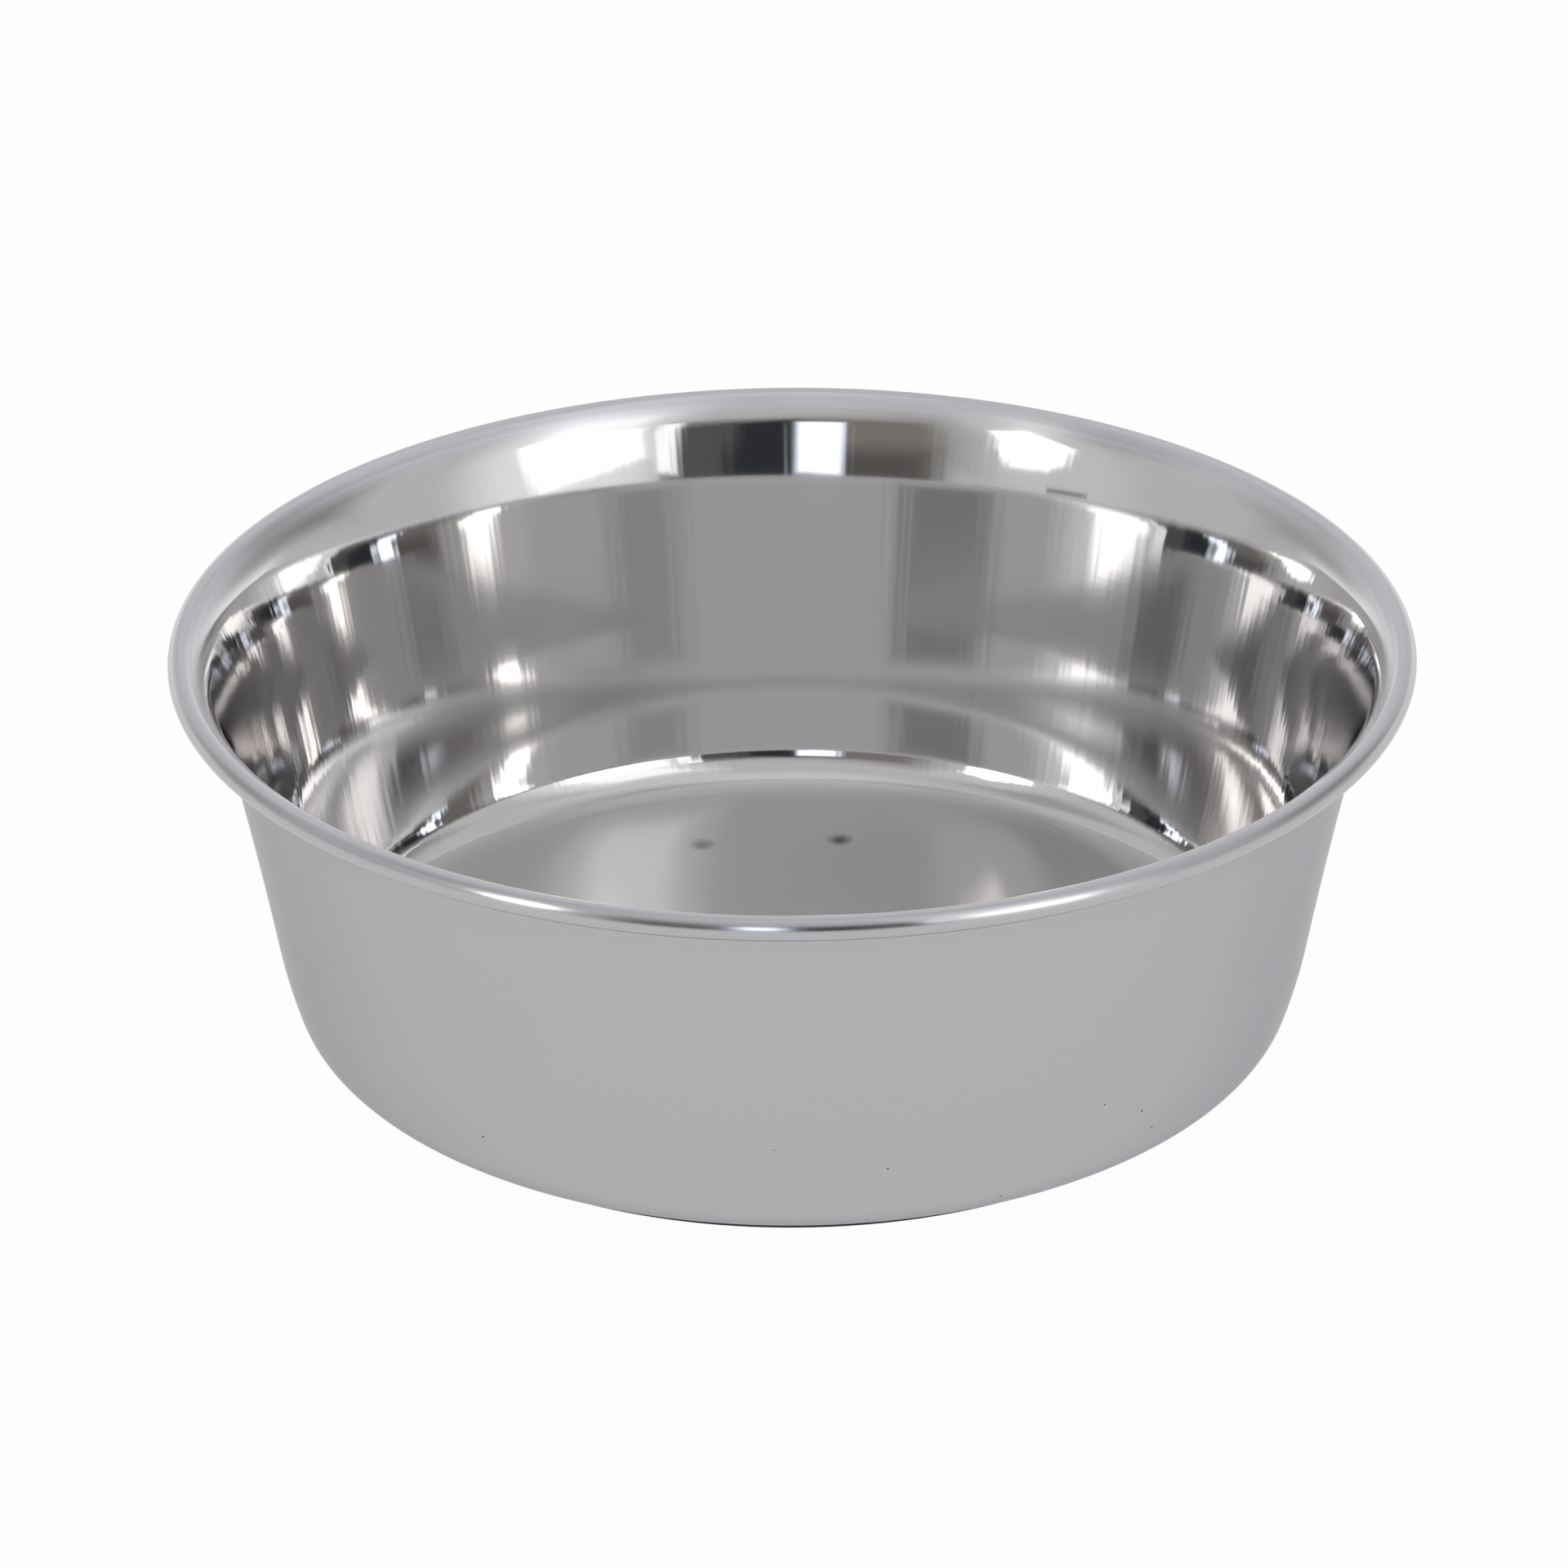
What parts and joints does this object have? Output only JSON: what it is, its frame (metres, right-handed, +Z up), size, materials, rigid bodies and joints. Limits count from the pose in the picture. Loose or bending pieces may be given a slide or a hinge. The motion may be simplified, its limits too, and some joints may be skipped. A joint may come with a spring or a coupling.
{
  "type": "dog bowl",
  "caption": "Round stainless steel feeding bowl with a tapered wall, flared lip and rolled bead, standing on a rubber non-slip ring.",
  "frame": {"origin": "on the table, under the middle of the bowl", "axes": "+Z up along the bowl's axis, -Y towards the camera of the picture"},
  "size_m": [0.216, 0.216, 0.074],
  "materials": {
    "polished_steel": "mirror polish inside, fine even polish outside",
    "pressed_steel": "plain rolled sheet",
    "welded_steel": "resistance weld",
    "black_rubber": "moulded, matt"
  },
  "bodies": {
    "root": {"bowl_shell": "polished_steel", "clamp_ring": "pressed_steel", "non_slip_ring": "black_rubber", "spot_weld_1": "welded_steel", "spot_weld_2": "welded_steel", "spot_weld_3": "welded_steel", "spot_weld_4": "welded_steel", "spot_weld_5": "welded_steel", "spot_weld_6": "welded_steel"}
  },
  "joints": []
}
